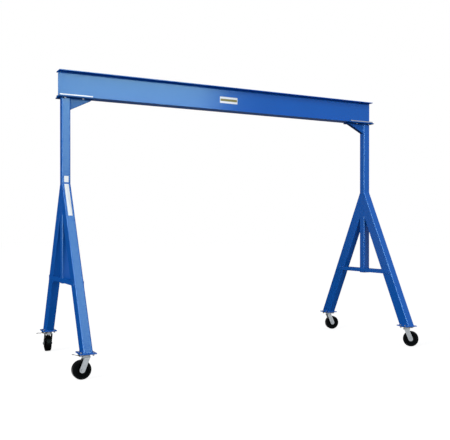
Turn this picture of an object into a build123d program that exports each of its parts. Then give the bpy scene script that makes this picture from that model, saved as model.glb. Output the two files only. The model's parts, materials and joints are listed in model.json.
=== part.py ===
# Portable gantry crane: a wide-flange runway beam carried by two A-shaped end frames on swivel casters.
# Millimetres. +Z is up, +X runs along the beam, and the origin is on the floor under the beam's middle.
import os
from math import cos, radians, sin, tan

from build123d import *

# Runway beam, a rolled wide-flange section
BEAM_LENGTH = 4572.0
BEAM_UNDERSIDE = 3124.0
BEAM_DEPTH = 305.0
FLANGE_WIDTH = 165.0
FLANGE_THICKNESS = 10.0
WEB_THICKNESS = 6.0
ROOT_RADIUS = 10.0
TOE_RADIUS = 2.0

# Cap plate, bolted under the beam at the head of each end frame
CAP_LENGTH = 400.0
CAP_WIDTH = 203.0
CAP_THICKNESS = 12.7
CAP_OVERHANG = 6.0
CAP_EDGE = 1.2

# Clamp bars on the lower flange, bolted through it to each cap plate
CLAMP_WIDTH = 34.0
CLAMP_THICKNESS = 14.0
CLAMP_SETBACK = 1.5
CLAMP_EDGE = 1.5

# Square post and the legs that lean on it
POST_INSET = 84.0
POST_WIDTH = 101.6
TUBE_WALL = 6.35
POST_BOTTOM = 945.0
END_CAP_THICKNESS = 8.0
LEG_APEX = 2114.0
LEG_DEPTH = 165.0
LEG_ANGLE = 27.0

# Folded gusset between the post and the cap plate
GUSSET_REACH = 250.0
GUSSET_HEIGHT = 136.0
GUSSET_TIP = 12.0
GUSSET_WIDTH = 64.0
GUSSET_SHEET = 6.0

# Flat bars lapped across both legs and the post, one on each face of the end frame
TIE_BOTTOM = 957.0
TIE_HEIGHT = 50.0
TIE_THICKNESS = 8.0
TIE_END_MARGIN = 18.0
TIE_EDGE = 1.0

# Foot plate under each leg
FOOT_PLATE_THICKNESS = 12.0
FOOT_PLATE_WING = 38.0
FOOT_PLATE_MARGIN = 11.0
FOOT_PLATE_CORNER = 6.0
FOOT_PLATE_EDGE = 1.2

# Caster wheel: a tyre on a hubbed core, on a bolt for an axle
WHEEL_DIAMETER = 203.2
WHEEL_WIDTH = 63.5
TYRE_DEPTH = 20.0
TREAD_RADIUS = 6.0
SIDEWALL_GROOVE = 1.5
SIDEWALL_GROOVE_WIDTH = 2.5
RIM_WIDTH = 58.0
RIM_THICKNESS = 9.0
WHEEL_WEB = 16.0
WHEEL_FILLET = 5.0
HUB_DIAMETER = 56.0
HUB_PLAY = 1.5
AXLE_DIAMETER = 19.0
AXLE_HEAD = 28.0
AXLE_HEAD_THICKNESS = 11.0
PIN_CLEARANCE = 0.06

# Caster yoke: two cheeks under a round crown that carries the lower ball race
CASTER_TRAIL = 52.0
YOKE_GAP = 79.0
YOKE_THICKNESS = 8.0
CHEEK_WIDTH = 60.0
CHEEK_EDGE = 2.0
WHEEL_CLEARANCE = 20.0
CROWN_RADIUS = 46.0
CROWN_THICKNESS = 12.0
RACE_RADIUS = 42.0
RACE_HEIGHT = 14.0

# Caster top plate with the upper race, the kingpin and its nut
SWIVEL_GAP = 0.3
UPPER_RACE_RADIUS = 38.0
UPPER_RACE_HEIGHT = 8.5
CASTER_PLATE_LENGTH = 159.0
CASTER_PLATE_WIDTH = 114.0
CASTER_PLATE_THICKNESS = 10.0
CASTER_PLATE_CORNER = 10.0
KINGPIN_DIAMETER = 24.0
KINGPIN_NUT = 36.0
KINGPIN_NUT_THICKNESS = 10.0

# Swivel lock lever, pinned between two ears under the plate's outer end
LOCK_PIN_DIAMETER = 8.0
LOCK_PIN_SETBACK = 10.0
LOCK_PIN_DROP = 12.0
LOCK_EAR_THICKNESS = 5.0
LOCK_EAR_RADIUS = 9.0
LEVER_WIDTH = 26.0
LEVER_THICKNESS = 4.0
LEVER_KNUCKLE_RADIUS = 8.0
LEVER_SIDE_PLAY = 0.4
LEVER_BEND_RADIUS = 60.0
LEVER_BEND = 28.0
LEVER_ROOT = 10.0
LEVER_TIP = 6.0
LEVER_TOE = 14.0

# How far each caster has swung, as a turn of its trail from +X
CASTER_REST = {"front_left": 180.0, "rear_left": 90.0, "front_right": -42.0, "rear_right": -17.0}

# How far each lock lever was left pressed down
LEVER_REST = {"front_left": 0.0, "rear_left": 16.0, "front_right": 0.0, "rear_right": 0.0}

# Heights, from the floor up
AXLE_HEIGHT = WHEEL_DIAMETER / 2
CROWN_UNDERSIDE = WHEEL_DIAMETER + WHEEL_CLEARANCE
CROWN_TOP = CROWN_UNDERSIDE + CROWN_THICKNESS
RACE_TOP = CROWN_TOP + RACE_HEIGHT
UPPER_RACE_BOTTOM = RACE_TOP + SWIVEL_GAP
CASTER_PLATE_BOTTOM = UPPER_RACE_BOTTOM + UPPER_RACE_HEIGHT
FOOT_PLATE_BOTTOM = CASTER_PLATE_BOTTOM + CASTER_PLATE_THICKNESS
FOOT_TOP = FOOT_PLATE_BOTTOM + FOOT_PLATE_THICKNESS
POST_TOP = BEAM_UNDERSIDE - CAP_THICKNESS

# Places along and across the crane
POST_X = BEAM_LENGTH / 2 - POST_INSET
POST_INNER_X = POST_X - POST_WIDTH / 2
LEG_LEAN = radians(LEG_ANGLE)
LEG_FOOTPRINT = LEG_DEPTH / cos(LEG_LEAN)
FOOT_Y = POST_WIDTH / 2 + (LEG_APEX - FOOT_TOP) * tan(LEG_LEAN) - LEG_FOOTPRINT / 2
TUBE_CORNER = 2 * TUBE_WALL
YOKE_WIDTH = YOKE_GAP + 2 * YOKE_THICKNESS
LOCK_PIN_X = CASTER_PLATE_LENGTH / 2 - LOCK_PIN_SETBACK
LOCK_PIN_Z = CASTER_PLATE_BOTTOM - LOCK_PIN_DROP
EAR_INNER_Y = LEVER_WIDTH / 2 + LEVER_SIDE_PLAY

FRAME_SIDES = {"left": -1, "right": 1}
CORNERS = {
    "front_left": (-1, -1),
    "rear_left": (-1, 1),
    "front_right": (1, -1),
    "rear_right": (1, 1),
}


def save(builder, name):
    """Label a finished piece and write it under its node's name."""
    builder.part.label = name
    export_step(builder.part, f"parts/{name}.step")


def save_copy(builder, name, place):
    """Write a copy of a finished piece, set down at a place on the crane."""
    with BuildPart() as copy:
        with Locations(place):
            add(builder.part)
    save(copy, name)


def tube_section(width, depth):
    """Sketch a rectangular tube's wall, with its rolled corners."""
    RectangleRounded(width, depth, TUBE_CORNER)
    RectangleRounded(
        width - 2 * TUBE_WALL, depth - 2 * TUBE_WALL, TUBE_CORNER - TUBE_WALL, mode=Mode.SUBTRACT
    )


def make_runway_beam():
    flange_middle = (BEAM_DEPTH - FLANGE_THICKNESS) / 2
    with BuildPart() as runway_beam:
        with BuildSketch(Plane.YZ.offset(-BEAM_LENGTH / 2)) as section:
            with Locations((0, BEAM_UNDERSIDE + BEAM_DEPTH / 2)):
                Rectangle(WEB_THICKNESS, BEAM_DEPTH)
                with Locations((0, -flange_middle), (0, flange_middle)):
                    Rectangle(FLANGE_WIDTH, FLANGE_THICKNESS)
            web_roots = section.vertices().filter_by(lambda v: abs(v.Y) < FLANGE_WIDTH / 4)
            fillet(web_roots, ROOT_RADIUS)
            toes = section.vertices().filter_by(lambda v: abs(v.Y) > FLANGE_WIDTH / 2 - TOE_RADIUS / 2)
            fillet(toes, TOE_RADIUS)
        extrude(amount=BEAM_LENGTH)
    save(runway_beam, "runway_beam")


def make_cap_plate(name, sx):
    middle_x = sx * (BEAM_LENGTH / 2 + CAP_OVERHANG - CAP_LENGTH / 2)
    with BuildPart() as cap_plate:
        with BuildSketch(Plane.XY.offset(POST_TOP)):
            with Locations((middle_x, 0)):
                Rectangle(CAP_LENGTH, CAP_WIDTH)
        extrude(amount=CAP_THICKNESS)
        fillet(cap_plate.edges(), CAP_EDGE)
    save(cap_plate, f"{name}_cap_plate")


def make_clamp_bars(name, sx):
    length = CAP_LENGTH - CAP_OVERHANG
    middle_x = sx * (BEAM_LENGTH - length) / 2
    middle_y = (FLANGE_WIDTH - CLAMP_WIDTH) / 2 - CLAMP_SETBACK
    for side, sy in {"front": -1, "rear": 1}.items():
        with BuildPart() as clamp_bar:
            with BuildSketch(Plane.XY.offset(BEAM_UNDERSIDE + FLANGE_THICKNESS)):
                with Locations((middle_x, sy * middle_y)):
                    Rectangle(length, CLAMP_WIDTH)
            extrude(amount=CLAMP_THICKNESS)
            fillet(clamp_bar.edges(), CLAMP_EDGE)
        save(clamp_bar, f"{name}_{side}_clamp_bar")


def make_gusset(name, sx):
    root_z = POST_TOP - GUSSET_HEIGHT
    tip_z = POST_TOP - GUSSET_TIP
    slope = (tip_z - root_z) / GUSSET_REACH
    sheet_rise = GUSSET_SHEET * (1 + slope**2) ** 0.5
    hollow_reach = (GUSSET_HEIGHT - sheet_rise) / slope
    post_face = Plane(origin=(sx * POST_INNER_X, 0, 0), x_dir=(-sx, 0, 0), z_dir=(0, sx, 0))
    with BuildPart() as gusset:
        with BuildSketch(post_face):
            with BuildLine():
                Polyline(
                    (0, root_z), (GUSSET_REACH, tip_z), (GUSSET_REACH, POST_TOP), (0, POST_TOP), close=True
                )
            make_face()
        extrude(amount=GUSSET_WIDTH / 2, both=True)
        with BuildSketch(post_face):
            with BuildLine():
                Polyline(
                    (0, root_z + sheet_rise), (hollow_reach, POST_TOP), (0, POST_TOP), close=True
                )
            make_face()
        extrude(amount=GUSSET_WIDTH / 2 - GUSSET_SHEET, both=True, mode=Mode.SUBTRACT)
    save(gusset, f"{name}_gusset")


def make_post(name, sx):
    tube_bottom = POST_BOTTOM + END_CAP_THICKNESS
    with BuildPart() as post:
        with BuildSketch(Plane(origin=(sx * POST_X, 0, tube_bottom))):
            tube_section(POST_WIDTH, POST_WIDTH)
        extrude(amount=POST_TOP - tube_bottom)
    save(post, f"{name}_post")

    with BuildPart() as end_cap:
        with BuildSketch(Plane(origin=(sx * POST_X, 0, POST_BOTTOM))):
            RectangleRounded(POST_WIDTH, POST_WIDTH, TUBE_CORNER)
        extrude(amount=END_CAP_THICKNESS)
    save(end_cap, f"{name}_post_end_cap")


def make_ties(name, sx):
    tie_top = TIE_BOTTOM + TIE_HEIGHT
    leg_edge_y = POST_WIDTH / 2 + (LEG_APEX - tie_top) * tan(LEG_LEAN)
    for piece, facing in {"cross_tie": -sx, "outer_tie": sx}.items():
        lapped_x = sx * POST_X + facing * POST_WIDTH / 2
        lapped_face = Plane(
            origin=(lapped_x, 0, TIE_BOTTOM + TIE_HEIGHT / 2), x_dir=(0, 1, 0), z_dir=(facing, 0, 0)
        )
        with BuildPart() as tie:
            with BuildSketch(lapped_face):
                Rectangle(2 * (leg_edge_y - TIE_END_MARGIN), TIE_HEIGHT)
            extrude(amount=TIE_THICKNESS)
            fillet(tie.edges(), TIE_EDGE)
        save(tie, f"{name}_{piece}")


def make_leg(name, sx, sy):
    along = Vector(0, -sy * sin(LEG_LEAN), cos(LEG_LEAN))
    foot = Vector(sx * POST_X, sy * FOOT_Y, FOOT_TOP)
    spare = LEG_DEPTH
    length = (LEG_APEX - FOOT_TOP) / cos(LEG_LEAN) + 2 * spare
    with BuildPart() as leg:
        with BuildSketch(Plane(origin=foot - along * spare, x_dir=(1, 0, 0), z_dir=along)):
            tube_section(POST_WIDTH, LEG_DEPTH)
        extrude(amount=length)
        split(bisect_by=Plane.XY.offset(FOOT_TOP), keep=Keep.TOP)
        split(bisect_by=Plane(origin=(0, sy * POST_WIDTH / 2, 0), z_dir=(0, sy, 0)), keep=Keep.TOP)
    save(leg, f"{name}_leg")


def make_foot_plate(name, sx, sy):
    width = POST_WIDTH + 2 * FOOT_PLATE_WING
    length = LEG_FOOTPRINT + 2 * FOOT_PLATE_MARGIN
    with BuildPart() as foot_plate:
        with BuildSketch(Plane(origin=(sx * POST_X, sy * FOOT_Y, FOOT_PLATE_BOTTOM))):
            RectangleRounded(width, length, FOOT_PLATE_CORNER)
        extrude(amount=FOOT_PLATE_THICKNESS)
        fillet(foot_plate.edges().filter_by(Axis.Z, reverse=True), FOOT_PLATE_EDGE)
    save(foot_plate, f"{name}_foot_plate")


def make_caster_plate():
    """Top plate of a caster, with the swivel axis on Z and the lock lever's ears towards +X."""
    nut_bottom = CROWN_UNDERSIDE - SWIVEL_GAP - KINGPIN_NUT_THICKNESS
    with BuildPart() as caster_plate:
        with BuildSketch(Plane.XY.offset(CASTER_PLATE_BOTTOM)):
            RectangleRounded(CASTER_PLATE_LENGTH, CASTER_PLATE_WIDTH, CASTER_PLATE_CORNER)
        extrude(amount=CASTER_PLATE_THICKNESS)
        with BuildSketch(Plane.XY.offset(UPPER_RACE_BOTTOM)):
            Circle(UPPER_RACE_RADIUS)
        extrude(amount=UPPER_RACE_HEIGHT)
        with BuildSketch(Plane.XY.offset(nut_bottom)):
            Circle(KINGPIN_DIAMETER / 2)
        extrude(amount=UPPER_RACE_BOTTOM - nut_bottom)
        with BuildSketch(Plane.XY.offset(nut_bottom)):
            RegularPolygon(KINGPIN_NUT / 2, 6, major_radius=False)
        extrude(amount=KINGPIN_NUT_THICKNESS)
        with BuildSketch(Plane.XZ):
            with BuildLine():
                Polyline(
                    (LOCK_PIN_X + LOCK_EAR_RADIUS, LOCK_PIN_Z),
                    (LOCK_PIN_X + LOCK_EAR_RADIUS, CASTER_PLATE_BOTTOM),
                    (LOCK_PIN_X - LOCK_EAR_RADIUS, CASTER_PLATE_BOTTOM),
                    (LOCK_PIN_X - LOCK_EAR_RADIUS, LOCK_PIN_Z),
                )
                ThreePointArc(
                    (LOCK_PIN_X - LOCK_EAR_RADIUS, LOCK_PIN_Z),
                    (LOCK_PIN_X, LOCK_PIN_Z - LOCK_EAR_RADIUS),
                    (LOCK_PIN_X + LOCK_EAR_RADIUS, LOCK_PIN_Z),
                )
            make_face()
        extrude(amount=EAR_INNER_Y + LOCK_EAR_THICKNESS, both=True)
        with BuildSketch(Plane.XZ):
            with Locations((LOCK_PIN_X, CASTER_PLATE_BOTTOM)):
                Rectangle(2 * LOCK_EAR_RADIUS, LOCK_PIN_DROP + LOCK_EAR_RADIUS, align=(Align.CENTER, Align.MAX))
        extrude(amount=EAR_INNER_Y, both=True, mode=Mode.SUBTRACT)
        with BuildSketch(Plane.XZ):
            with Locations((LOCK_PIN_X, LOCK_PIN_Z)):
                Circle(LOCK_PIN_DIAMETER / 2)
        extrude(amount=EAR_INNER_Y, both=True)
    return caster_plate


def make_caster_yoke():
    """Swivelling fork of a caster, with its trail towards +X."""
    with BuildPart() as yoke:
        with BuildSketch(Plane.XZ):
            with Locations((CASTER_TRAIL, AXLE_HEIGHT)):
                Circle(CHEEK_WIDTH / 2)
            with Locations((0, CROWN_UNDERSIDE)):
                Rectangle(CHEEK_WIDTH, CROWN_THICKNESS, align=(Align.CENTER, Align.MIN))
            make_hull()
        extrude(amount=YOKE_WIDTH / 2, both=True)
        cheek_faces = yoke.faces().filter_by(Axis.Y)
        fillet(cheek_faces[0].edges() + cheek_faces[-1].edges(), CHEEK_EDGE)
        with BuildSketch(Plane.XZ):
            with Locations((CASTER_TRAIL, CROWN_UNDERSIDE)):
                Rectangle(4 * CROWN_UNDERSIDE, 2 * CROWN_UNDERSIDE, align=(Align.CENTER, Align.MAX))
        extrude(amount=YOKE_GAP / 2, both=True, mode=Mode.SUBTRACT)
        with BuildSketch(Plane.XZ):
            with Locations((CASTER_TRAIL, AXLE_HEIGHT)):
                Circle(AXLE_DIAMETER / 2 + PIN_CLEARANCE)
        extrude(amount=YOKE_WIDTH, both=True, mode=Mode.SUBTRACT)
        with BuildSketch(Plane.XY.offset(CROWN_UNDERSIDE)):
            Circle(CROWN_RADIUS)
        extrude(amount=CROWN_THICKNESS)
        with BuildSketch(Plane.XY.offset(CROWN_TOP)):
            Circle(RACE_RADIUS)
        extrude(amount=RACE_HEIGHT)
        with Locations((0, 0, RACE_TOP)):
            Hole(KINGPIN_DIAMETER / 2 + PIN_CLEARANCE, depth=RACE_HEIGHT + CROWN_THICKNESS)
    return yoke


def make_caster_axle():
    """Axle bolt of a caster wheel, with a hexagon at each end against the yoke's cheeks."""
    axle_line = Plane(origin=(CASTER_TRAIL, -YOKE_WIDTH / 2, AXLE_HEIGHT), z_dir=(0, 1, 0))
    with BuildPart() as axle:
        with BuildSketch(axle_line):
            Circle(AXLE_DIAMETER / 2)
        extrude(amount=YOKE_WIDTH)
        with BuildSketch(axle_line, axle_line.offset(YOKE_WIDTH + AXLE_HEAD_THICKNESS)):
            RegularPolygon(AXLE_HEAD / 2, 6, major_radius=False)
        extrude(amount=-AXLE_HEAD_THICKNESS)
    return axle


def wheel_plane():
    """Half-section plane of the wheel: x runs along the axle and y outwards from it."""
    return Plane(origin=(CASTER_TRAIL, 0, AXLE_HEIGHT), x_dir=(0, 1, 0), z_dir=(1, 0, 0))


def wheel_axis():
    return Axis((CASTER_TRAIL, 0, AXLE_HEIGHT), (0, 1, 0))


def make_wheel_core():
    """Hub, web and rim of a caster wheel."""
    bore_radius = AXLE_DIAMETER / 2 + PIN_CLEARANCE
    rim_radius = WHEEL_DIAMETER / 2 - TYRE_DEPTH
    rim_inner = rim_radius - RIM_THICKNESS
    upward = (Align.CENTER, Align.MIN)
    with BuildPart() as core:
        with BuildSketch(wheel_plane()) as half:
            with Locations((0, bore_radius)):
                Rectangle(YOKE_GAP - 2 * HUB_PLAY, HUB_DIAMETER / 2 - bore_radius, align=upward)
                Rectangle(WHEEL_WEB, rim_radius - bore_radius, align=upward)
            with Locations((0, rim_inner)):
                Rectangle(RIM_WIDTH, RIM_THICKNESS, align=upward)
            inner_corners = half.vertices().filter_by(lambda v: abs(abs(v.Y) - WHEEL_WEB / 2) < PIN_CLEARANCE)
            fillet(inner_corners, WHEEL_FILLET)
        revolve(axis=wheel_axis())
    return core


def make_tyre():
    """Solid tyre with rounded shoulders."""
    with BuildPart() as tyre:
        with BuildSketch(wheel_plane()) as half:
            with Locations((0, WHEEL_DIAMETER / 2)):
                Rectangle(WHEEL_WIDTH, TYRE_DEPTH, align=(Align.CENTER, Align.MAX))
            fillet(half.vertices().group_by(Axis.Z)[-1], TREAD_RADIUS)
            groove_y = WHEEL_DIAMETER / 2 - TYRE_DEPTH + SIDEWALL_GROOVE_WIDTH
            with Locations((-WHEEL_WIDTH / 2, groove_y), (WHEEL_WIDTH / 2, groove_y)):
                Rectangle(
                    2 * SIDEWALL_GROOVE,
                    SIDEWALL_GROOVE_WIDTH,
                    align=(Align.CENTER, Align.MIN),
                    mode=Mode.SUBTRACT,
                )
        revolve(axis=wheel_axis())
    return tyre


def make_lock_lever():
    """Swivel lock lever: a knuckle on its pin, an S-bent strip outwards and a short toe inwards."""
    strip_z = LOCK_PIN_Z + LEVER_KNUCKLE_RADIUS - LEVER_THICKNESS / 2
    with BuildPart() as lever:
        with BuildSketch(Plane.XZ):
            with Locations((LOCK_PIN_X, LOCK_PIN_Z)):
                Circle(LEVER_KNUCKLE_RADIUS)
                Rectangle(LEVER_TOE, LEVER_KNUCKLE_RADIUS, align=(Align.MAX, Align.CENTER))
            with BuildLine() as strip:
                root = Line((LOCK_PIN_X, strip_z), (LOCK_PIN_X + LEVER_KNUCKLE_RADIUS + LEVER_ROOT, strip_z))
                rise = JernArc(root @ 1, root % 1, LEVER_BEND_RADIUS, LEVER_BEND)
                level = JernArc(rise @ 1, rise % 1, LEVER_BEND_RADIUS, -LEVER_BEND)
                Line(level @ 1, (level @ 1) + (level % 1) * LEVER_TIP)
            trace(strip.line, LEVER_THICKNESS)
            with Locations((LOCK_PIN_X, LOCK_PIN_Z)):
                Circle(LOCK_PIN_DIAMETER / 2 + PIN_CLEARANCE, mode=Mode.SUBTRACT)
        extrude(amount=LEVER_WIDTH / 2, both=True)
    return lever


def main():
    os.makedirs("parts", exist_ok=True)
    make_runway_beam()
    for name, sx in FRAME_SIDES.items():
        make_cap_plate(name, sx)
        make_clamp_bars(name, sx)
        make_gusset(name, sx)
        make_post(name, sx)
        make_ties(name, sx)
    caster_plate = make_caster_plate()
    lock_lever = make_lock_lever()
    lever_pin = Location((LOCK_PIN_X, 0, LOCK_PIN_Z))
    swivel_pieces = {
        "caster_yoke": make_caster_yoke(),
        "caster_axle": make_caster_axle(),
        "wheel_core": make_wheel_core(),
        "tyre": make_tyre(),
    }
    for name, (sx, sy) in CORNERS.items():
        make_leg(name, sx, sy)
        make_foot_plate(name, sx, sy)
        swivel_point = (sx * POST_X, sy * FOOT_Y, 0)
        outward = Location(swivel_point, (0, 0, 0 if sx > 0 else 180))
        swung = Location(swivel_point, (0, 0, CASTER_REST[name]))
        pressed = lever_pin * Location((0, 0, 0), (0, LEVER_REST[name], 0)) * lever_pin.inverse()
        save_copy(caster_plate, f"{name}_caster_plate", outward)
        save_copy(lock_lever, f"{name}_lock_lever", outward * pressed)
        for piece, builder in swivel_pieces.items():
            save_copy(builder, f"{name}_{piece}", swung)


if __name__ == "__main__":
    main()
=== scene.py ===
"""Finishes, fasteners, welds, stickers and stage of a portable gantry crane, around its CAD model"""

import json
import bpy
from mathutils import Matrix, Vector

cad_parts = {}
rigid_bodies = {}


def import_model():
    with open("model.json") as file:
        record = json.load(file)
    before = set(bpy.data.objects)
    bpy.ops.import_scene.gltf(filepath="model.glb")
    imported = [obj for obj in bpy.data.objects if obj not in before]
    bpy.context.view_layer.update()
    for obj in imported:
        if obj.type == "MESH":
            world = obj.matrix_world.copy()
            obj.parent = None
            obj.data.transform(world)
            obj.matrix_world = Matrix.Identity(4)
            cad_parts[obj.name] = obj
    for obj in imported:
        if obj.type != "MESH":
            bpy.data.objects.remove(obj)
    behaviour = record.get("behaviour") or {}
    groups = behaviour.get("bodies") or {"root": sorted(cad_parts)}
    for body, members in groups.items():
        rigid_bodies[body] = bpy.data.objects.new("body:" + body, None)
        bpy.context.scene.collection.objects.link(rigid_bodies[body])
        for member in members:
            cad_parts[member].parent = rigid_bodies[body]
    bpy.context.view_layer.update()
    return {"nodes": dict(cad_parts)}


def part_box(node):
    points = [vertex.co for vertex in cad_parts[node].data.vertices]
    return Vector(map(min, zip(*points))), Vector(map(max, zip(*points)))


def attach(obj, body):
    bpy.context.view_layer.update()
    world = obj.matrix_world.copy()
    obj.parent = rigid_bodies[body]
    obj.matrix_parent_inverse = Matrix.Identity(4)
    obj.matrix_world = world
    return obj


bl_info = {
    "name": "Portable Gantry Crane",
    "version": (1, 0, 0),
    "blender": (4, 5, 0),
    "location": "3D View > Sidebar > Gantry",
    "description": "Paints, plates, bolts, welds and labels a portable gantry crane, and sets its stage",
    "category": "Object",
}

from math import ceil, cos, pi, radians, sin, tan

import bmesh
import bpy
from bpy.props import FloatProperty, FloatVectorProperty, PointerProperty
from mathutils import Matrix, Vector

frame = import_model()
FRAME_BODY = "crane_frame"
SIDES = {"left": -1, "right": 1}
CORNERS = {"front_left": (-1, -1), "rear_left": (-1, 1), "front_right": (1, -1), "rear_right": (1, 1)}
PAINTED_FRAME_NODES = ("post", "post_end_cap", "cross_tie", "outer_tie")
PAINTED_CORNER_NODES = ("leg", "foot_plate")
TIE_FACES = {"cross_tie": -1, "outer_tie": 1}
ENAMEL_FINISHES = ("blue_enamel", "gusset_enamel", "plate_enamel")
BLACK_FINISHES = ("black_iron", "black_rubber")
BRIGHT_FINISHES = ("zinc", "dull_and_shaded_zinc", "sticker_vinyl", "sticker_band")
UP = Vector((0, 0, 1))
DOWN = Vector((0, 0, -1))
ALONG_BEAM = Vector((1, 0, 0))

# Faces that look down further than this lose this share of the gloss; where asked, their colour is darkened
# as well, a painted shade
UNDERSIDE = -0.35
GLOSS_LOST_BELOW = 0.82

# Proportions of the fasteners, as shares of the thread's diameter
WASHER_RADIUS = 1.06
WASHER_THICKNESS = 0.17
ACROSS_FLATS = 1.5
HEAD_HEIGHT = 0.64
NUT_HEIGHT = 0.85
THREAD_PITCH = 0.13
THREAD_ROOT = 0.43

# Weld beads thinner or thicker than usual, as shares of the fillet's leg
LIGHT_BEAD = 0.8
HEAVY_BEAD = 1.3

# Angles past which an edge stays sharp
BOLT_CREASE = radians(40)
BEAD_CREASE = radians(70)
FILM_CREASE = radians(30)

# Colours of the lamps, the point that most of them face, and the floor's size
COOL = (0.54, 0.96, 1.0)
DAYLIGHT = (0.94, 0.98, 1.0)
NEUTRAL = (0.97, 0.99, 1.0)
CRANE_MIDDLE = (0, 0, 1.6)
FLOOR_RADIUS = 60.0


class EnamelSettings(bpy.types.PropertyGroup):
    """Sprayed blue enamel of the steelwork"""

    colour: FloatVectorProperty(
        name="Colour", description="Colour of the enamel", subtype="COLOR", size=4, min=0, max=1,
        default=(0.005, 0.082, 0.36, 1),
    )
    gloss: FloatProperty(
        name="Gloss", description="Weight of the gloss over the colour", min=0, max=1, default=0.42
    )
    gloss_roughness: FloatProperty(
        name="Gloss roughness", description="Roughness of the gloss", min=0, max=1, default=0.18
    )
    peel: FloatProperty(
        name="Orange peel", description="Width of one dimple of the sprayed surface", unit="LENGTH",
        min=0.0005, default=0.004,
    )
    peel_depth: FloatProperty(
        name="Orange peel depth", description="Depth of the dimples", unit="LENGTH", min=0, default=0.00006
    )
    wave: FloatProperty(
        name="Plate wave", description="Width of the slow waves in rolled steel", unit="LENGTH",
        min=0.01, default=0.22,
    )
    wave_depth: FloatProperty(
        name="Plate wave depth", description="Depth of the slow waves", unit="LENGTH", min=0, default=0.0008
    )


class MetalSettings(bpy.types.PropertyGroup):
    """Zinc plating, black iron and rubber"""

    zinc: FloatVectorProperty(
        name="Zinc", description="Colour of the clamp bars, bolts, caster forks and axles",
        subtype="COLOR", size=4, min=0, max=1, default=(0.35, 0.374, 0.394, 1),
    )
    # Painted shade in part: a darker copy of the zinc that stands in for the shadow on the caster plates
    # under the foot plates; the lock levers wear it as their own duller grey
    dull_and_shaded_zinc: FloatVectorProperty(
        name="Dull zinc", description="Colour of the caster plates and lock levers",
        subtype="COLOR", size=4, min=0, max=1, default=(0.165, 0.17, 0.175, 1),
    )
    iron: FloatVectorProperty(
        name="Wheel iron", description="Colour of the black wheel cores", subtype="COLOR", size=4,
        min=0, max=1, default=(0.003, 0.003, 0.0035, 1),
    )
    rubber: FloatVectorProperty(
        name="Rubber", description="Colour of the tyres", subtype="COLOR", size=4, min=0, max=1,
        default=(0.002, 0.002, 0.0023, 1),
    )


class FastenerSettings(bpy.types.PropertyGroup):
    """Bolts under the beam and through the foot plates"""

    beam_bolt: FloatProperty(
        name="Beam bolt", description="Thread diameter of the bolts under the beam", unit="LENGTH",
        min=0.004, default=0.0127,
    )
    beam_bolt_inset: FloatProperty(
        name="Beam bolt inset", description="From the cap plate's outer end to its outer bolts",
        unit="LENGTH", min=0, default=0.072,
    )
    beam_bolt_pitch: FloatProperty(
        name="Beam bolt pitch", description="Between the bolts along the beam", unit="LENGTH",
        min=0, default=0.213,
    )
    beam_bolt_gauge: FloatProperty(
        name="Beam bolt gauge", description="Between the bolts across the beam", unit="LENGTH",
        min=0, default=0.134,
    )
    caster_bolt: FloatProperty(
        name="Caster bolt", description="Thread diameter of the caster bolts", unit="LENGTH",
        min=0.004, default=0.012,
    )
    caster_bolt_pitch: FloatProperty(
        name="Caster bolt pitch", description="Between caster bolts along the beam", unit="LENGTH",
        min=0, default=0.1334,
    )
    caster_bolt_gauge: FloatProperty(
        name="Caster bolt gauge", description="Between caster bolts across the beam", unit="LENGTH",
        min=0, default=0.086,
    )
    caster_plate: FloatProperty(
        name="Caster plate", description="Thickness of the caster's top plate", unit="LENGTH",
        min=0, default=0.010,
    )


class WeldSettings(bpy.types.PropertyGroup):
    """Fillet welds of the end frames"""

    size: FloatProperty(
        name="Leg size", description="Leg length of a fillet weld", unit="LENGTH", min=0.001, default=0.006
    )
    ripple: FloatProperty(
        name="Ripple", description="Spacing of the ripples along a bead", unit="LENGTH",
        min=0.001, default=0.005,
    )
    tube_corner: FloatProperty(
        name="Tube corner", description="Outer corner radius of the tubes", unit="LENGTH",
        min=0, default=0.0127,
    )
    leg_depth: FloatProperty(
        name="Leg depth", description="Depth of a leg's tube", unit="LENGTH", min=0, default=0.165
    )
    leg_lean: FloatProperty(
        name="Leg lean", description="Lean of a leg from upright", subtype="ANGLE", default=radians(27)
    )


class StickerSettings(bpy.types.PropertyGroup):
    """Blank stickers"""

    vinyl: FloatVectorProperty(
        name="Vinyl", description="Colour of the blank stickers", subtype="COLOR", size=4, min=0, max=1,
        default=(0.90, 0.95, 0.98, 1),
    )
    band: FloatVectorProperty(
        name="Band", description="Colour of the plain band on the beam's sticker", subtype="COLOR", size=4,
        min=0, max=1, default=(0.22, 0.20, 0.05, 1),
    )
    thickness: FloatProperty(
        name="Thickness", description="How far a sticker stands proud", unit="LENGTH", min=0,
        default=0.0004,
    )
    corner: FloatProperty(
        name="Corner", description="Corner radius of a sticker", unit="LENGTH", min=0, default=0.004
    )
    beam_place: FloatVectorProperty(
        name="Beam sticker", description="Middle of the sticker on the beam's web", subtype="TRANSLATION",
        unit="LENGTH", default=(-0.0465, -0.003, 3.2715),
    )
    beam_size: FloatVectorProperty(
        name="Beam sticker size", description="Width and height of the beam's sticker", unit="LENGTH",
        size=2, min=0, default=(0.259, 0.083),
    )
    band_size: FloatVectorProperty(
        name="Band size", description="Width and height of the band on the beam's sticker", unit="LENGTH",
        size=2, min=0, default=(0.245, 0.030),
    )
    post_height: FloatProperty(
        name="Post sticker", description="Height of the middle of the post's sticker", unit="LENGTH",
        default=2.1615,
    )
    post_size: FloatVectorProperty(
        name="Post sticker size", description="Width and height of the post's sticker", unit="LENGTH",
        size=2, min=0, default=(0.051, 0.073),
    )
    leg_drop: FloatProperty(
        name="Leg sticker", description="From the leg's top down to the middle of its sticker",
        unit="LENGTH", default=0.220,
    )
    leg_size: FloatVectorProperty(
        name="Leg sticker size", description="Width and height of the leg's sticker", unit="LENGTH",
        size=2, min=0, default=(0.05, 0.416),
    )


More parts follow.
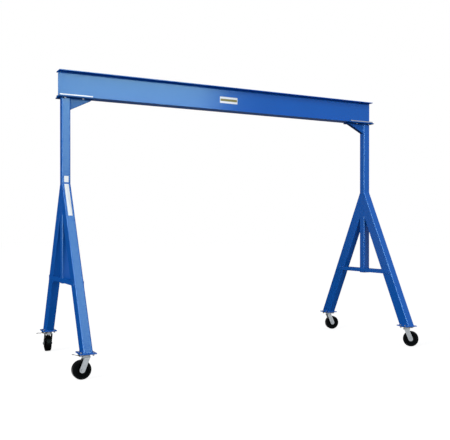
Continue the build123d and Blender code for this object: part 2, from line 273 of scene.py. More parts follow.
class StageSettings(bpy.types.PropertyGroup):
    """Camera, lamps and floor"""

    eye: FloatVectorProperty(
        name="Eye", description="Where the camera stands", subtype="TRANSLATION", unit="LENGTH",
        default=(-4.1384, -7.8872, 1.5741),
    )
    yaw: FloatProperty(
        name="Yaw", description="Turn of the view from +Y towards +X", subtype="ANGLE",
        default=radians(27.11),
    )
    pitch: FloatProperty(
        name="Pitch", description="Rise of the view over the level", subtype="ANGLE",
        default=radians(-0.225),
    )
    lens: FloatProperty(
        name="Lens", description="Focal length on a 36 mm sensor", unit="CAMERA", min=1, default=53.97
    )
    rise: FloatProperty(name="Rise", description="Vertical shift of the lens", default=0.0269)
    scrim: FloatProperty(
        name="Scrim", description="Brightness of the front scrims", min=0, default=15.5
    )
    front: FloatProperty(
        name="Front fill", description="Brightness of the front lamp on fittings and stickers", min=0,
        default=5.0,
    )
    side: FloatProperty(
        name="Side fill", description="Brightness of the lamp on the left", min=0, default=10.0
    )
    back: FloatProperty(
        name="Back fill", description="Brightness of the lamp behind, on enamel, iron and rubber", min=0,
        default=11.0,
    )
    ambient: FloatProperty(
        name="Ambient", description="Strength of the even light all round", min=0, default=0.45
    )
    floor_shade: FloatProperty(
        name="Floor", description="Lightness of the floor under the lamps", min=0, max=1, default=0.35
    )


SETTINGS = {
    "gantry_enamel": EnamelSettings,
    "gantry_metal": MetalSettings,
    "gantry_fasteners": FastenerSettings,
    "gantry_welds": WeldSettings,
    "gantry_stickers": StickerSettings,
    "gantry_stage": StageSettings,
}


class Wire:
    """A node's output socket that takes part in arithmetic by adding Math nodes"""

    def __init__(self, finish, socket):
        self.finish = finish
        self.socket = socket

    def _math(self, operation, *values):
        return self.finish.add("ShaderNodeMath", {"operation": operation}, dict(enumerate(values)))

    def __add__(self, other):
        return self._math("ADD", self, other)

    __radd__ = __add__

    def __sub__(self, other):
        return self._math("SUBTRACT", self, other)

    def __rsub__(self, other):
        return self._math("SUBTRACT", other, self)

    def __mul__(self, other):
        return self._math("MULTIPLY", self, other)

    __rmul__ = __mul__

    def __lt__(self, other):
        return self._math("LESS_THAN", self, other)

    def at_most(self, other):
        """The smaller of two values"""
        return self._math("MINIMUM", self, other)


class Finish:
    """A node tree, built node by node"""

    def __init__(self, tree):
        self.tree = tree
        self.tree.nodes.clear()

    @classmethod
    def of_material(cls, name):
        """The empty tree of a new material"""
        material = bpy.data.materials.new(name)
        material.use_nodes = True
        finish = cls(material.node_tree)
        finish.material = material
        return finish

    def add(self, kind, settings=None, sockets=None, output=0):
        """Add a node: its settings first, then the values or links of its sockets"""
        node = self.tree.nodes.new(kind)
        for key, value in (settings or {}).items():
            setattr(node, key, value)
        for key, value in (sockets or {}).items():
            if isinstance(value, Wire):
                self.tree.links.new(value.socket, node.inputs[key])
            else:
                node.inputs[key].default_value = value
        return Wire(self, node.outputs[output]) if len(node.outputs) else None

    def noise(self, width, detail=2.0, rough=0.5, stretch=None):
        """Noise from 0 to 1 whose features are about as wide as given, in metres"""
        place = self.add("ShaderNodeTexCoord", output="Object")
        if stretch:
            place = self.add("ShaderNodeVectorMath", {"operation": "MULTIPLY"}, {0: place, 1: stretch})
        sockets = {"Vector": place, "Scale": 1 / width, "Detail": detail, "Roughness": rough}
        return self.add("ShaderNodeTexNoise", {}, sockets, "Fac")

    def mix(self, factor, first, second):
        """Blend two colours"""
        settings = {"data_type": "RGBA", "clamp_factor": True}
        return self.add("ShaderNodeMix", settings, {0: factor, 6: first, 7: second}, 2)

    def bump(self, height, depth, beneath=None):
        """Normals of a relief of this depth in metres, over another relief if there is one"""
        sockets = {"Height": height, "Distance": depth, "Strength": 1.0}
        if beneath is not None:
            sockets["Normal"] = beneath
        return self.add("ShaderNodeBump", {}, sockets)

    def close(self, sockets):
        """End the tree in a Principled shader with these sockets, and give the material"""
        shader = self.add("ShaderNodeBsdfPrincipled", {}, sockets)
        self.add("ShaderNodeOutputMaterial", {}, {"Surface": shader})
        return self.material


def shade(colour, factor):
    """A colour made lighter or darker"""
    return tuple(min(1.0, channel * factor) for channel in colour[:3]) + (1.0,)


def enamel(name, paint, depth=1.0, cover=1.0, painted_shade_below=0.0):
    """Sprayed enamel with orange peel and slow waves, less glossy on faces that look down; a depth under 1
    and the darkening below paint shade into its colour
    """
    finish = Finish.of_material(name)
    tone = finish.noise(0.7, 4.0, 0.55)
    # A depth under 1 makes a darker copy of the paint: painted shade for pieces that sit in shadow
    colour = finish.mix(tone, shade(paint.colour, 0.93 * depth), shade(paint.colour, 1.07 * depth))
    speck = finish.noise(0.012, 3.0, 0.6)
    roughness = 0.46 + 0.12 * speck
    facing = finish.add("ShaderNodeTexCoord", output="Normal")
    underside = finish.add("ShaderNodeSeparateXYZ", {}, {0: facing}, "Z") < UNDERSIDE
    # Painted shade: faces that look down are darkened towards black by this share
    if painted_shade_below:
        colour = finish.mix(painted_shade_below * underside, colour, (0, 0, 0, 1))
    coat = cover * (paint.gloss + 0.06 - 0.12 * speck) * (1 - GLOSS_LOST_BELOW * underside)
    peel = finish.noise(paint.peel, 1.0)
    waves = finish.noise(paint.wave, 1.0, stretch=(0.35, 1.0, 1.0))
    return finish.close({
        "Base Color": colour,
        "Roughness": roughness,
        "Normal": finish.bump(peel, paint.peel_depth, finish.bump(waves, paint.wave_depth)),
        "Specular IOR Level": 0.0,
        "Coat Weight": coat,
        "Coat Roughness": paint.gloss_roughness,
    })


def zinc(name, colour):
    """Zinc plating: faint spangle, rubbing marks and a soft sheen"""
    finish = Finish.of_material(name)
    place = finish.add("ShaderNodeTexCoord", output="Object")
    spangle = finish.add("ShaderNodeTexVoronoi", {}, {"Vector": place, "Scale": 90.0}, "Color")
    grain = finish.add("ShaderNodeSeparateColor", {}, {"Color": spangle}, 0)
    clouds = finish.noise(0.035, 3.0)
    tone = 0.35 * grain + 0.65 * clouds
    rubs = finish.noise(0.0016, 2.0, stretch=(1.0, 1.0, 0.12))
    return finish.close({
        "Base Color": finish.mix(tone, shade(colour, 0.82), shade(colour, 1.14)),
        "Metallic": 1.0,
        "Roughness": 0.30 + 0.14 * clouds,
        "Normal": finish.bump(rubs, 0.00008),
    })


def wheel_iron(metal):
    """Black painted casting with a sandy skin"""
    finish = Finish.of_material("black_iron")
    sand = finish.noise(0.0025, 4.0, 0.6)
    clouds = finish.noise(0.05, 2.0)
    return finish.close({
        "Base Color": finish.mix(clouds, shade(metal.iron, 0.8), shade(metal.iron, 1.5)),
        "Roughness": 0.42 + 0.16 * sand,
        "Specular IOR Level": 0.03,
        "Normal": finish.bump(sand, 0.0003),
    })


def tyre_rubber(metal):
    """Moulded black rubber, a little dusty where it has rolled"""
    finish = Finish.of_material("black_rubber")
    dust = finish.noise(0.03, 4.0, 0.65)
    fine = finish.noise(0.0018, 2.0)
    return finish.close({
        "Base Color": finish.mix(0.35 * dust, tuple(metal.rubber), shade(metal.rubber, 4.0)),
        "Roughness": 0.22 + 0.2 * dust,
        "Specular IOR Level": 0.05,
        "Normal": finish.bump(fine, 0.00012),
    })


def vinyl(name, colour):
    """Sticker film with a faint unevenness"""
    finish = Finish.of_material(name)
    clouds = finish.noise(0.02, 2.0)
    return finish.close({
        "Base Color": finish.mix(clouds, shade(colour, 0.95), shade(colour, 1.03)),
        "Roughness": 0.38 + 0.08 * clouds,
        "Normal": finish.bump(finish.noise(0.006, 1.0), 0.00005),
    })


def dress(nodes, material):
    """Give CAD nodes a finish"""
    for node in nodes:
        slots = frame["nodes"][node].data.materials
        slots.clear()
        slots.append(material)


def stand(at, up):
    """Local frame at a point, with its z along a direction"""
    return Matrix.Translation(Vector(at)) @ Vector(up).to_track_quat("Z", "Y").to_matrix().to_4x4()


def loft(mesh, rings, joined_ends=False):
    """Join closed rings of points with quads, and cap the two ends or join them to each other"""
    loops = [[mesh.verts.new(point) for point in ring] for ring in rings]
    count = len(loops[0])
    pairs = list(zip(loops, loops[1:]))
    if joined_ends:
        pairs.append((loops[-1], loops[0]))
    else:
        mesh.faces.new(reversed(loops[0]))
        mesh.faces.new(loops[-1])
    for lower, upper in pairs:
        for i in range(count):
            j = (i + 1) % count
            mesh.faces.new((lower[i], lower[j], upper[j], upper[i]))


def lathe(mesh, profile, place, segments=24):
    """Turn a profile of (radius, height) pairs about a local z axis"""
    turns = [2 * pi * k / segments for k in range(segments)]
    loft(mesh, [
        [place @ Vector((radius * cos(turn), radius * sin(turn), height)) for turn in turns]
        for radius, height in profile
    ])


def hexagon(mesh, across_flats, low, high, place, both_ends=False, per_side=4):
    """A hexagon whose corners are turned down at the top, or at both ends"""
    side_turn = pi / 3
    turns = [side_turn * k / per_side for k in range(6 * per_side)]
    reach = [across_flats / 2 / cos(turn % side_turn - side_turn / 2) for turn in turns]
    face = 0.475 * across_flats
    drops = [(radius - face) * tan(radians(30)) for radius in reach]

    def ring(radii, heights):
        return [place @ Vector((r * cos(t), r * sin(t), h)) for t, r, h in zip(turns, radii, heights)]

    flat = [face] * len(turns)
    rings = [ring(reach, [high - drop for drop in drops]), ring(flat, [high] * len(turns))]
    if both_ends:
        rings = [ring(flat, [low] * len(turns)), ring(reach, [low + drop for drop in drops])] + rings
    else:
        rings = [ring(reach, [low] * len(turns))] + rings
    loft(mesh, rings)


def washer(mesh, bolt, place):
    """A flat washer on a face, and the height of its top"""
    radius, thickness = WASHER_RADIUS * bolt, WASHER_THICKNESS * bolt
    edge = 0.25 * thickness
    lathe(mesh, [
        (radius - edge, 0), (radius, edge), (radius, thickness - edge), (radius - edge, thickness)
    ], place)
    return thickness


def bolt_head(mesh, bolt, place):
    """Washer and hexagon head on a face"""
    seat = washer(mesh, bolt, place)
    hexagon(mesh, ACROSS_FLATS * bolt, seat, seat + HEAD_HEIGHT * bolt, place)


def bolt_nut(mesh, bolt, place):
    """Washer, nut and the thread's end on a face"""
    seat = washer(mesh, bolt, place)
    top = seat + NUT_HEIGHT * bolt
    hexagon(mesh, ACROSS_FLATS * bolt, seat, top, place, both_ends=True)
    thread_end(mesh, bolt, top, place)


def thread_end(mesh, bolt, top, place):
    """The last turns of a bolt's thread, above a nut or a tapped hole"""
    pitch, crest, root = THREAD_PITCH * bolt, bolt / 2, THREAD_ROOT * bolt
    profile = [(root, top - pitch)]
    for turn in range(3):
        profile += [(crest, top + (turn - 0.5) * pitch), (root, top + turn * pitch)]
    profile.append((0.8 * root, top + 2.4 * pitch))
    lathe(mesh, profile, place)


def bead(mesh, path, toward_a, toward_b, size, ripple, crown=0.42, joined_ends=False):
    """A rippled weld bead along a path, between the faces that lie toward a and toward b"""
    points = [Vector(point) for point in path]
    spans = list(zip(points, points[1:]))
    if joined_ends:
        spans.append((points[-1], points[0]))
    stations = []
    for index, (start, end) in enumerate(spans):
        steps = max(1, ceil((end - start).length / (ripple / 3)))
        stations += [(index + k / steps, start.lerp(end, k / steps)) for k in range(steps)]
    if not joined_ends:
        stations.append((len(spans), points[-1]))
    travelled = 0.0
    rings = []
    for number, (where, point) in enumerate(stations):
        if number:
            travelled += (point - stations[number - 1][1]).length
        reach = size * (0.84 + 0.16 * abs(cos(pi * travelled / ripple)))
        if not joined_ends:
            reach *= min(1.0, 0.4 + 0.2 * min(number, len(stations) - 1 - number))
        a, b = toward_a(where), toward_b(where)
        ring = [point - 0.15 * reach * (a + b), point + reach * a]
        for k in (0.25, 0.5, 0.75):
            ring.append(point + reach * (1 + crown * sin(pi * k)) * ((1 - k) * a + k * b))
        ring.append(point + reach * b)
        rings.append(ring)
    loft(mesh, rings, joined_ends)


def steady(*direction):
    """The same direction all along a path"""
    vector = Vector(direction)
    return lambda where: vector


def turning(directions):
    """Directions that turn from point to point of a closed path"""
    count = len(directions)

    def at(where):
        index = int(where) % count
        return directions[index].lerp(directions[(index + 1) % count], where - int(where)).normalized()

    return at


def rounded_outline(half_x, half_y, corner_x, corner_y, steps=4):
    """Points round a rectangle with rounded corners, and the outward direction at each"""
    points, outward = [], []
    for quarter, (sx, sy) in enumerate(((1, 1), (-1, 1), (-1, -1), (1, -1))):
        for k in range(steps + 1):
            turn = (quarter + k / steps) * pi / 2
            points.append(Vector((
                sx * (half_x - corner_x) + corner_x * cos(turn),
                sy * (half_y - corner_y) + corner_y * sin(turn),
                0,
            )))
            outward.append(Vector((cos(turn), sin(turn), 0)))
    return points, outward


def finished_piece(mesh, name, material, crease):
    """Turn a bmesh into a piece that rides on the crane's frame"""
    data = bpy.data.meshes.new(name)
    bmesh.ops.recalc_face_normals(mesh, faces=mesh.faces)
    mesh.to_mesh(data)
    mesh.free()
    data.materials.append(material)
    data.polygons.foreach_set("use_smooth", [True] * len(data.polygons))
    data.set_sharp_from_angle(angle=crease)
    piece = bpy.data.objects.new(name, data)
    bpy.context.scene.collection.objects.link(piece)
    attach(piece, FRAME_BODY)


class GANTRY_OT_paint_steelwork(bpy.types.Operator):
    """Give the beam, end frames and foot plates their enamel"""

    bl_idname = "gantry.paint_steelwork"
    bl_label = "Paint Steelwork"

    def execute(self, context):
        paint = context.scene.gantry_enamel
        blue = enamel("blue_enamel", paint)
        dress(["runway_beam"], blue)
        dress([f"{side}_{node}" for side in SIDES for node in PAINTED_FRAME_NODES], blue)
        dress([f"{corner}_{node}" for corner in CORNERS for node in PAINTED_CORNER_NODES], blue)
        # Painted shade: the gussets get a darker, less glossy copy of the enamel, darkest on the faces that
        # look down
        thin = enamel("gusset_enamel", paint, depth=0.85, cover=0.5, painted_shade_below=0.6)
        dress([f"{side}_gusset" for side in SIDES], thin)
        # Painted shade: the cap plates get a much darker, duller copy of the enamel for their shadowed edges
        # and undersides
        dull_shaded_enamel = enamel("plate_enamel", paint, depth=0.5, cover=0.2)
        dress([f"{side}_cap_plate" for side in SIDES], dull_shaded_enamel)
        return {"FINISHED"}


class GANTRY_OT_finish_fittings(bpy.types.Operator):
    """Give the clamp bars and casters their zinc, iron and rubber"""

    bl_idname = "gantry.finish_fittings"
    bl_label = "Finish Fittings"

    def execute(self, context):
        metal = context.scene.gantry_metal
        plated = zinc("zinc", metal.zinc)
        dress([f"{side}_{end}_clamp_bar" for side in SIDES for end in ("front", "rear")], plated)
        for finish, nodes in (
            (plated, ("caster_yoke", "caster_axle")),
            # The caster plates' darker zinc is painted shade for their shadow under the foot plates
            (zinc("dull_and_shaded_zinc", metal.dull_and_shaded_zinc), ("caster_plate", "lock_lever")),
            (wheel_iron(metal), ("wheel_core",)),
            (tyre_rubber(metal), ("tyre",)),
        ):
            dress([f"{corner}_{node}" for corner in CORNERS for node in nodes], finish)
        return {"FINISHED"}


class GANTRY_OT_add_beam_bolts(bpy.types.Operator):
    """Bolt both cap plates up through the beam's lower flange into the clamp bars"""

    bl_idname = "gantry.add_beam_bolts"
    bl_label = "Add Beam Bolts"

    def execute(self, context):
        sizes = context.scene.gantry_fasteners
        plated = bpy.data.materials["zinc"]
        for side, sx in SIDES.items():
            low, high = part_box(f"{side}_cap_plate")
            bar_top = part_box(f"{side}_front_clamp_bar")[1].z
            end_x = high.x if sx > 0 else low.x
            mesh = bmesh.new()
            for inset in (sizes.beam_bolt_inset, sizes.beam_bolt_inset + sizes.beam_bolt_pitch):
                for sy in (-1, 1):
                    x, y = end_x - sx * inset, sy * sizes.beam_bolt_gauge / 2
                    bolt_head(mesh, sizes.beam_bolt, stand((x, y, low.z), DOWN))
                    thread_end(mesh, sizes.beam_bolt, 0, stand((x, y, bar_top), UP))
            finished_piece(mesh, f"{side}_beam_bolts", plated, BOLT_CREASE)
        return {"FINISHED"}


class GANTRY_OT_add_caster_bolts(bpy.types.Operator):
    """Bolt each caster's top plate to its foot plate"""

    bl_idname = "gantry.add_caster_bolts"
    bl_label = "Add Caster Bolts"

    def execute(self, context):
        sizes = context.scene.gantry_fasteners
        plated = bpy.data.materials["zinc"]
        for corner in CORNERS:
            low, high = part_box(f"{corner}_foot_plate")
            middle = (low + high) / 2
            mesh = bmesh.new()
            for sx in (-1, 1):
                for sy in (-1, 1):
                    x = middle.x + sx * sizes.caster_bolt_pitch / 2
                    y = middle.y + sy * sizes.caster_bolt_gauge / 2
                    bolt_head(mesh, sizes.caster_bolt, stand((x, y, high.z), UP))
                    bolt_nut(mesh, sizes.caster_bolt, stand((x, y, low.z - sizes.caster_plate), DOWN))
            finished_piece(mesh, f"{corner}_caster_bolts", plated, BOLT_CREASE)
        return {"FINISHED"}


class GANTRY_OT_add_welds(bpy.types.Operator):
    """Lay the weld beads of both end frames"""

    bl_idname = "gantry.add_welds"
    bl_label = "Add Welds"

    def execute(self, context):
        sizes = context.scene.gantry_welds
        blue = bpy.data.materials["blue_enamel"]
        for side, sx in SIDES.items():
            mesh = bmesh.new()
            self.weld_post(mesh, sizes, side)
            self.weld_gusset(mesh, sizes, side, sx)
            corners = {corner: sy for corner, (corner_sx, sy) in CORNERS.items() if corner_sx == sx}
            for corner, sy in corners.items():
                self.weld_leg(mesh, sizes, corner, sy)
            for tie, facing in TIE_FACES.items():
                self.weld_tie(mesh, sizes, side, tie, sx * facing)
                for corner, sy in corners.items():
                    self.weld_tie_end(mesh, sizes, side, tie, sx * facing, corner, sy)
            finished_piece(mesh, f"{side}_welds", blue, BEAD_CREASE)
        return {"FINISHED"}

    def weld_post(self, mesh, sizes, side):
        """Bead round the post's top under the cap plate"""
        low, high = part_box(f"{side}_post")
        half = (high.y - low.y) / 2
        top = Vector(((low.x + high.x) / 2, 0, high.z))
        outline, outward = rounded_outline(half, half, sizes.tube_corner, sizes.tube_corner)
        path = [top + point for point in outline]
        bead(mesh, path, turning(outward), steady(*DOWN), sizes.size, sizes.ripple, joined_ends=True)

    def weld_gusset(self, mesh, sizes, side, sx):
        """Beads down both sides of the gusset on the post, along the cap plate and across its ends"""
        low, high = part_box(f"{side}_gusset")
        post_x = high.x if sx > 0 else low.x
        tip_x = low.x if sx > 0 else high.x
        size = LIGHT_BEAD * sizes.size
        for sy, y in ((-1, low.y), (1, high.y)):
            upright = [(post_x, y, low.z), (post_x, y, high.z)]
            bead(mesh, upright, steady(0, sy, 0), steady(-sx, 0, 0), size, sizes.ripple)
            along = [(post_x, y, high.z), (tip_x, y, high.z)]
            bead(mesh, along, steady(0, sy, 0), steady(*DOWN), size, sizes.ripple)
        under = [(post_x, low.y, low.z), (post_x, high.y, low.z)]
        bead(mesh, under, steady(*DOWN), steady(-0.9 * sx, 0, 0.4), size, sizes.ripple)
        end = [(tip_x, low.y, high.z), (tip_x, high.y, high.z)]
        bead(mesh, end, steady(-sx, 0, 0), steady(*DOWN), size, sizes.ripple)

    def weld_leg(self, mesh, sizes, corner, sy):
        """Beads round the leg's foot, and up, over and under its joint on the post"""
        low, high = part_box(f"{corner}_leg")
        middle_x, half_x = (low.x + high.x) / 2, (high.x - low.x) / 2
        axis = Vector((0, -sy * sin(sizes.leg_lean), cos(sizes.leg_lean)))
        footprint = sizes.leg_depth / cos(sizes.leg_lean)
        outer_y = high.y if sy > 0 else low.y
        foot = Vector((middle_x, outer_y - sy * footprint / 2, low.z))
        corner_y = sizes.tube_corner / cos(sizes.leg_lean)
        outline, outward = rounded_outline(half_x, footprint / 2, sizes.tube_corner, corner_y)
        path = [foot + point for point in outline]
        bead(mesh, path, turning(outward), steady(*axis), sizes.size, sizes.ripple, joined_ends=True)
        post_y = low.y if sy > 0 else high.y
        joint_top = high.z
        joint_low = high.z - sizes.leg_depth / sin(sizes.leg_lean)
        flat_x = half_x - sizes.tube_corner
        size = HEAVY_BEAD * sizes.size
        over = [(middle_x - flat_x, post_y, joint_top), (middle_x + flat_x, post_y, joint_top)]
        bead(mesh, over, steady(*UP), steady(*(-axis)), size, sizes.ripple)
        under = [(middle_x - flat_x, post_y, joint_low), (middle_x + flat_x, post_y, joint_low)]
        bead(mesh, under, steady(*DOWN), steady(*(-axis)), size, sizes.ripple, crown=0.1)
        end_margin = sizes.tube_corner
        for seam in (-1, 1):
            x = middle_x + seam * flat_x
            path = [(x, post_y, joint_low + end_margin), (x, post_y, joint_top - end_margin)]
            on_leg = steady(1.02 * seam, 0.12 * sy, 0)
            on_post = steady(1.0 * seam, -1.1 * sy, 0)
            bead(mesh, path, on_leg, on_post, sizes.tube_corner, 1.4 * sizes.ripple, crown=0.12)

    def weld_tie(self, mesh, sizes, side, tie, facing):
        """Beads along a tie's edges where it crosses the post"""
        low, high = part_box(f"{side}_{tie}")
        post_low, post_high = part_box(f"{side}_post")
        face_x = post_high.x if facing > 0 else post_low.x
        flat = post_high.y - sizes.tube_corner
        for z, sz in ((low.z, -1), (high.z, 1)):
            path = [(face_x, -flat, z), (face_x, flat, z)]
            bead(mesh, path, steady(0, 0, sz), steady(facing, 0, 0), LIGHT_BEAD * sizes.size, sizes.ripple)

    def weld_tie_end(self, mesh, sizes, side, tie, facing, corner, sy):
        """Beads along a tie's edges over one leg, and down its end"""
        low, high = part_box(f"{side}_{tie}")
        leg_low, leg_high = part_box(f"{corner}_leg")
        face_x = leg_high.x if facing > 0 else leg_low.x
        post_y = leg_low.y if sy > 0 else leg_high.y
        end_y = high.y if sy > 0 else low.y
        size = LIGHT_BEAD * sizes.size
        for z, sz in ((low.z, -1), (high.z, 1)):
            outer = abs(post_y) + (leg_high.z - z) * tan(sizes.leg_lean)
            inner = outer - sizes.leg_depth / cos(sizes.leg_lean) + sizes.tube_corner
            path = [(face_x, sy * inner, z), (face_x, end_y, z)]
            bead(mesh, path, steady(0, 0, sz), steady(facing, 0, 0), size, sizes.ripple)
        path = [(face_x, end_y, low.z), (face_x, end_y, high.z)]
        bead(mesh, path, steady(0, sy, 0), steady(facing, 0, 0), size, sizes.ripple)


class GANTRY_OT_add_stickers(bpy.types.Operator):
    """Put blank stickers on the beam, one post and one leg"""

    bl_idname = "gantry.add_stickers"
    bl_label = "Add Stickers"

    def execute(self, context):
        sizes = context.scene.gantry_stickers
        welds = context.scene.gantry_welds
        pale = vinyl("sticker_vinyl", sizes.vinyl)
        ochre = vinyl("sticker_band", sizes.band)
        on_web = Vector(sizes.beam_place)
        on_sticker = on_web + Vector((0, -sizes.thickness, 0))
        self.stick("beam_sticker", pale, sizes, on_web, UP, sizes.beam_size)
        self.stick("beam_sticker_band", ochre, sizes, on_sticker, UP, sizes.band_size)
        low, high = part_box("left_post")
        on_post = Vector(((low.x + high.x) / 2, low.y, sizes.post_height))
        self.stick("post_sticker", pale, sizes, on_post, UP, sizes.post_size)
        low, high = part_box("front_left_leg")
        up_leg = Vector((0, sin(welds.leg_lean), cos(welds.leg_lean)))
        on_leg = Vector(((low.x + high.x) / 2, high.y, high.z)) - sizes.leg_drop * up_leg
        self.stick("leg_sticker", pale, sizes, on_leg, up_leg, sizes.leg_size)
        return {"FINISHED"}

    def stick(self, name, material, sizes, middle, up, size):
        """A thin film with rounded corners on a face that runs along the beam"""
        mesh = bmesh.new()
        width, height = size
        outline, _ = rounded_outline(width / 2, height / 2, sizes.corner, sizes.corner)
        out = ALONG_BEAM.cross(up)
        rim = 0.4 * sizes.thickness
        rings = []
        for inset, lift in ((0, 0), (0, sizes.thickness - rim), (rim, sizes.thickness)):
            shrink = 1 - 2 * inset / min(width, height)
            rings.append([middle + shrink * (p.x * ALONG_BEAM + p.y * up) + lift * out for p in outline])
        loft(mesh, rings)
        finished_piece(mesh, name, material, FILM_CREASE)


class GANTRY_OT_set_stage(bpy.types.Operator):
    """Place the camera, the lamps, the floor and the pale surroundings"""

    bl_idname = "gantry.set_stage"
    bl_label = "Set Stage"

    def execute(self, context):
        stage = context.scene.gantry_stage
        context.scene.view_settings.view_transform = "Standard"
        enamelled = self.group_by_finish("enamelled_pieces", ENAMEL_FINISHES)
        glossy = self.group_by_finish("glossy_pieces", ENAMEL_FINISHES + BLACK_FINISHES)
        bright = self.group_by_finish("bright_pieces", BRIGHT_FINISHES)
        self.place_camera(context, stage)
        self.light_surroundings(context, stage)
        self.lay_floor(context, stage)
        self.hang_scrims(context, stage, glossy, enamelled)
        self.hang_fills(context, stage, glossy, bright)
        self.hang_flag(context)
        return {"FINISHED"}

    def group_by_finish(self, name, finishes):
        """Collection of the crane's pieces with these finishes, for lamps to light alone"""
        group = bpy.data.collections.new(name)
        for piece in bpy.data.objects:
            if piece.type == "MESH" and piece.data.materials and piece.data.materials[0].name in finishes:
                group.objects.link(piece)
        return group

    def hang_scrims(self, context, stage, glossy, enamelled):
        """Cool scrims in front, for the gloss of the beam, the left post, the legs and the tubes' corners"""
        for name, at, aim, size, share in (
            ("beam_scrim", (1.82, -9.0, 5.3), (1.82, 0, 5.3), (4.85, 1.8), 1.0),
            ("post_scrim", (0.1, -9.0, 3.5), (0.1, 0, 3.5), (1.4, 1.8), 0.85),
            ("leg_scrim", (1.25, -9.0, 11.2), (-2.2, -0.5, 1.2), (1.8, 5.2), 0.75),
        ):
            self.hang_lamp(context, name, at, aim, size, share * stage.scrim, COOL, glossy)
        soft = 0.7 * stage.scrim
        for name, at, size in (
            ("corner_scrim", (-7.0, -10.6, 6.5), (12.0, 13.0)),
            ("left_scrim", (-12.4, -2.9, 6.5), (8.5, 13.0)),
        ):
            scrim = self.hang_lamp(context, name, at, CRANE_MIDDLE, size, soft, COOL, enamelled)
            scrim.visible_diffuse = False

    def hang_fills(self, context, stage, glossy, bright):
        """Fill lamps: in front on fittings and stickers, on the left, and behind"""
        self.hang_lamp(
            context, "front_fill", (0.7, -10.0, 4.5), (0, 0, 2.0), (5.0, 5.0), stage.front, NEUTRAL, bright
        )
        for name, at, brightness, lit in (
            ("side_fill", (-22.0, -6.0, 6.0), stage.side, None),
            ("back_fill", (12.0, 20.0, 7.0), stage.back, glossy),
        ):
            lamp = self.hang_lamp(context, name, at, CRANE_MIDDLE, (10.0, 10.0), brightness, DAYLIGHT, lit)
            lamp.visible_glossy = False

    def place_camera(self, context, stage):
        """Camera with an upright view and a lens that may be shifted"""
        data = bpy.data.cameras.new("camera")
        data.sensor_fit = "HORIZONTAL"
        data.sensor_width = 36
        data.lens = stage.lens
        data.shift_y = stage.rise
        camera = bpy.data.objects.new("camera", data)
        level = cos(stage.pitch)
        view = Vector((sin(stage.yaw) * level, cos(stage.yaw) * level, sin(stage.pitch)))
        turn = view.to_track_quat("-Z", "Y").to_matrix().to_4x4()
        camera.matrix_world = Matrix.Translation(stage.eye) @ turn
        context.scene.collection.objects.link(camera)
        context.scene.camera = camera

    def seen_as_white(self, finish):
        """1 for rays from the camera, from gloss and through glass, 0 for others"""
        rays = [
            finish.add("ShaderNodeLightPath", output=f"Is {kind} Ray")
            for kind in ("Camera", "Glossy", "Transmission")
        ]
        return (rays[0] + rays[1] + rays[2]).at_most(1.0)

    def light_surroundings(self, context, stage):
        """Even light all round, white where it is seen"""
        world = bpy.data.worlds.new("surroundings")
        world.use_nodes = True
        finish = Finish(world.node_tree)
        seen = self.seen_as_white(finish)
        strength = stage.ambient + (1 - stage.ambient) * seen
        light = finish.add("ShaderNodeBackground", {}, {"Color": (1, 1, 1, 1), "Strength": strength})
        finish.add("ShaderNodeOutputWorld", {}, {"Surface": light})
        context.scene.world = world

    def lay_floor(self, context, stage):
        """Pale floor, white where it is seen, that keeps the crane's shadow"""
        mesh = bmesh.new()
        bmesh.ops.create_circle(mesh, cap_ends=True, segments=96, radius=FLOOR_RADIUS)
        data = bpy.data.meshes.new("floor")
        mesh.to_mesh(data)
        mesh.free()
        finish = Finish.of_material("floor_white")
        glow = self.seen_as_white(finish) * (1 - stage.floor_shade * stage.ambient)
        pale = (stage.floor_shade, stage.floor_shade, stage.floor_shade, 1)
        matte = finish.add("ShaderNodeBsdfDiffuse", {}, {"Color": pale})
        light = finish.add("ShaderNodeEmission", {}, {"Strength": glow})
        both = finish.add("ShaderNodeAddShader", {}, {0: matte, 1: light})
        finish.add("ShaderNodeOutputMaterial", {}, {"Surface": both})
        data.materials.append(finish.material)
        floor = bpy.data.objects.new("floor", data)
        context.scene.collection.objects.link(floor)

    def hang_lamp(self, context, name, at, aim, size, brightness, colour, lit):
        """A flat soft lamp whose face is as bright as given, for one group of pieces or for all"""
        data = bpy.data.lights.new(name, "AREA")
        data.shape = "RECTANGLE"
        data.size, data.size_y = size
        data.energy = brightness * pi * size[0] * size[1]
        data.color = colour
        lamp = bpy.data.objects.new(name, data)
        turn = (Vector(aim) - Vector(at)).to_track_quat("-Z", "Y").to_matrix().to_4x4()
        lamp.matrix_world = Matrix.Translation(at) @ turn
        lamp.light_linking.receiver_collection = lit
        context.scene.collection.objects.link(lamp)
        return lamp

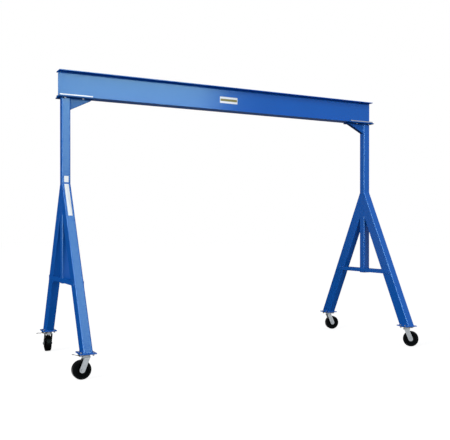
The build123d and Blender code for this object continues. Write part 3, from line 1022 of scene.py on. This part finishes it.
    def hang_flag(self, context):
        """A dark cloth beside the crane that only its gloss mirrors"""
        mesh = bmesh.new()
        near, far, left, right, low, top = 0.3, 14.0, -9.2, 2.0, 0.004, 8.0
        near_edge, far_edge, top_edge = (
            [mesh.verts.new((x, y, z)) for x in (left, right)]
            for y, z in ((near, low), (far, low), (far, top))
        )
        mesh.faces.new((*near_edge, *reversed(far_edge)))
        mesh.faces.new((*far_edge, *reversed(top_edge)))
        data = bpy.data.meshes.new("side_flag")
        mesh.to_mesh(data)
        mesh.free()
        finish = Finish.of_material("flag_black")
        matte = finish.add("ShaderNodeBsdfDiffuse", {}, {"Color": (0.01, 0.01, 0.012, 1)})
        finish.add("ShaderNodeOutputMaterial", {}, {"Surface": matte})
        data.materials.append(finish.material)
        flag = bpy.data.objects.new("side_flag", data)
        context.scene.collection.objects.link(flag)
        flag.visible_camera = False
        flag.visible_diffuse = False
        flag.visible_shadow = False
        flag.visible_transmission = False


OPERATORS = (
    GANTRY_OT_paint_steelwork,
    GANTRY_OT_finish_fittings,
    GANTRY_OT_add_beam_bolts,
    GANTRY_OT_add_caster_bolts,
    GANTRY_OT_add_welds,
    GANTRY_OT_add_stickers,
    GANTRY_OT_set_stage,
)


class GANTRY_PT_build(bpy.types.Panel):
    """Build steps and settings of the gantry crane"""

    bl_label = "Gantry Crane"
    bl_idname = "GANTRY_PT_build"
    bl_space_type = "VIEW_3D"
    bl_region_type = "UI"
    bl_category = "Gantry"

    def draw(self, context):
        for operator in OPERATORS:
            self.layout.operator(operator.bl_idname)
        for name, group in SETTINGS.items():
            box = self.layout.box()
            for key in group.__annotations__:
                box.prop(getattr(context.scene, name), key)


def register():
    for group in SETTINGS.values():
        bpy.utils.register_class(group)
    for name, group in SETTINGS.items():
        setattr(bpy.types.Scene, name, PointerProperty(type=group))
    for cls in (*OPERATORS, GANTRY_PT_build):
        bpy.utils.register_class(cls)


def unregister():
    for cls in reversed((*OPERATORS, GANTRY_PT_build)):
        bpy.utils.unregister_class(cls)
    for name, group in reversed(SETTINGS.items()):
        delattr(bpy.types.Scene, name)
        bpy.utils.unregister_class(group)


def main():
    register()
    bpy.ops.gantry.paint_steelwork()
    bpy.ops.gantry.finish_fittings()
    bpy.ops.gantry.add_beam_bolts()
    bpy.ops.gantry.add_caster_bolts()
    bpy.ops.gantry.add_welds()
    bpy.ops.gantry.add_stickers()
    bpy.ops.gantry.set_stage()


if __name__ == "__main__":
    main()
